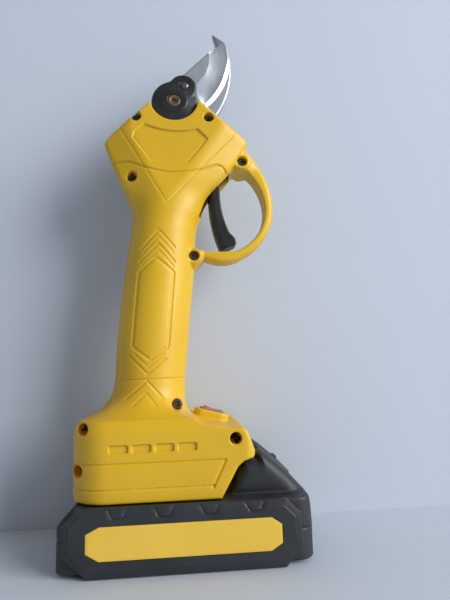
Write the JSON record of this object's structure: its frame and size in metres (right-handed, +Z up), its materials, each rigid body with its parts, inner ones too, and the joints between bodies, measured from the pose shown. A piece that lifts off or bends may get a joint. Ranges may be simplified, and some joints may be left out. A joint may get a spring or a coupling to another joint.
{
  "type": "battery electric pruner",
  "caption": "One-hand battery pruner: hooked fixed blade and geared moving blade on a leaning handle with a finger guard, on a slide-in battery it stands on.",
  "frame": {"origin": "centre of the battery's bottom face, which the tool stands on", "axes": "+Z up the handle towards the blades, +X towards the trigger and guard, +Y towards the side without screw heads"},
  "size_m": [0.1199, 0.076, 0.2942],
  "materials": {
    "housing": "satin",
    "screw_black": "black oxide",
    "screw_steel": "plated",
    "blade_steel": "ground",
    "brass": "turned",
    "black_metal": "black satin",
    "cast_alloy": "as cast",
    "gear_steel": "sintered",
    "motor_steel": "zinc plated",
    "copper": "copper",
    "white_nylon": "matte",
    "lead_red": "satin",
    "black_plastic": "satin",
    "board_green": "solder mask",
    "chip_black": "moulded",
    "rocker_grey": "satin",
    "rocker_red": "gloss",
    "battery_black": "fine texture",
    "label_yellow": "printed foil",
    "cell_wrap": "shrink wrap"
  },
  "bodies": {
    "housing": {"housing_right": "housing", "housing_left": "housing", "housing_screws": "screw_black", "fixed_blade": "blade_steel", "fixed_blade_screws": "screw_steel", "pivot_bolt": "brass", "pivot_nut": "screw_steel", "gear_case": "cast_alloy", "pinion_bearings": "screw_steel", "gearbox_housing": "gear_steel", "motor_can": "motor_steel", "motor_stator": "motor_steel", "motor_end_plate": "white_nylon", "motor_leads": "lead_red", "trigger_pin": "screw_steel", "trigger_spring": "gear_steel", "trigger_sensor_board": "board_green", "control_board": "board_green", "power_transistors": "chip_black", "main_capacitor": "chip_black", "board_supports": "housing", "terminal_block": "black_plastic", "terminal_blades": "copper", "rocker_frame": "rocker_grey"},
    "blade": {"moving_blade": "blade_steel", "blade_gear": "gear_steel", "drive_dowels": "screw_steel", "pivot_cap": "black_metal", "cap_screw": "screw_black"},
    "drive": {"bevel_pinion": "gear_steel", "planet_carrier": "gear_steel"},
    "planet_1": {"planet_gear_1": "gear_steel"},
    "planet_2": {"planet_gear_2": "gear_steel"},
    "planet_3": {"planet_gear_3": "gear_steel"},
    "rotor": {"motor_rotor": "copper", "sun_gear": "brass"},
    "trigger": {"trigger": "black_plastic", "trigger_magnet": "motor_steel"},
    "rocker": {"rocker_button": "rocker_red"},
    "battery": {"battery_upper_case": "battery_black", "battery_lower_case": "battery_black", "battery_case_screws": "screw_black", "battery_panel_right": "battery_black", "battery_panel_left": "battery_black", "battery_label_right": "label_yellow", "battery_label_left": "label_yellow", "battery_cells": "cell_wrap", "cell_holders": "white_nylon", "cell_strips": "motor_steel", "protection_board": "board_green", "battery_clips": "copper", "button_spring": "gear_steel"},
    "release": {"release_button": "battery_black"}
  },
  "joints": [
    {"name": "blade_pivot", "type": "hinge", "parent": "housing", "child": "blade", "pos_m": [-0.0016, 0, 0.239], "axis": [0, -1, 0], "range_deg": [0, 50]},
    {"name": "pinion_spin", "type": "hinge", "parent": "housing", "child": "drive", "pos_m": [-0.0016, 0, 0.239], "axis": [0.0872, 0, 0.9962], "range_deg": [0, 200]},
    {"name": "rotor_spin", "type": "hinge", "parent": "housing", "child": "rotor", "pos_m": [-0.0016, 0, 0.239], "axis": [0.0872, 0, 0.9962], "range_deg": [0, 900]},
    {"name": "planet_1_spin", "type": "hinge", "parent": "drive", "child": "planet_1", "pos_m": [-0.00543, 0.00675, 0.19517], "axis": [0.0872, 0, 0.9962], "range_deg": [-560, 0]},
    {"name": "planet_2_spin", "type": "hinge", "parent": "drive", "child": "planet_2", "pos_m": [-0.01126, -0.00337, 0.19568], "axis": [0.0872, 0, 0.9962], "range_deg": [-560, 0]},
    {"name": "planet_3_spin", "type": "hinge", "parent": "drive", "child": "planet_3", "pos_m": [0.00039, -0.00337, 0.19466], "axis": [0.0872, 0, 0.9962], "range_deg": [-560, 0]},
    {"name": "trigger_pull", "type": "hinge", "parent": "housing", "child": "trigger", "pos_m": [0.0175, 0, 0.2005], "axis": [0, 1, 0], "range_deg": [0, 12]},
    {"name": "rocker_tilt", "type": "hinge", "parent": "housing", "child": "rocker", "pos_m": [0.0151, 0, 0.0652], "axis": [0, -1, 0], "range_deg": [0, 12]},
    {"name": "battery_slide", "type": "slide", "parent": "housing", "child": "battery", "axis": [1, 0, 0], "range_m": [0, 0.1]},
    {"name": "release_press", "type": "slide", "parent": "battery", "child": "release", "axis": [0, 0, -1], "range_m": [0, 0.004], "deforming": ["button_spring"]}
  ],
  "couplings": [
    {"joint": "pinion_spin", "follows": "blade_pivot", "ratio": 4},
    {"joint": "rotor_spin", "follows": "blade_pivot", "ratio": 18},
    {"joint": "planet_1_spin", "follows": "blade_pivot", "ratio": -11.2},
    {"joint": "planet_2_spin", "follows": "blade_pivot", "ratio": -11.2},
    {"joint": "planet_3_spin", "follows": "blade_pivot", "ratio": -11.2}
  ]
}
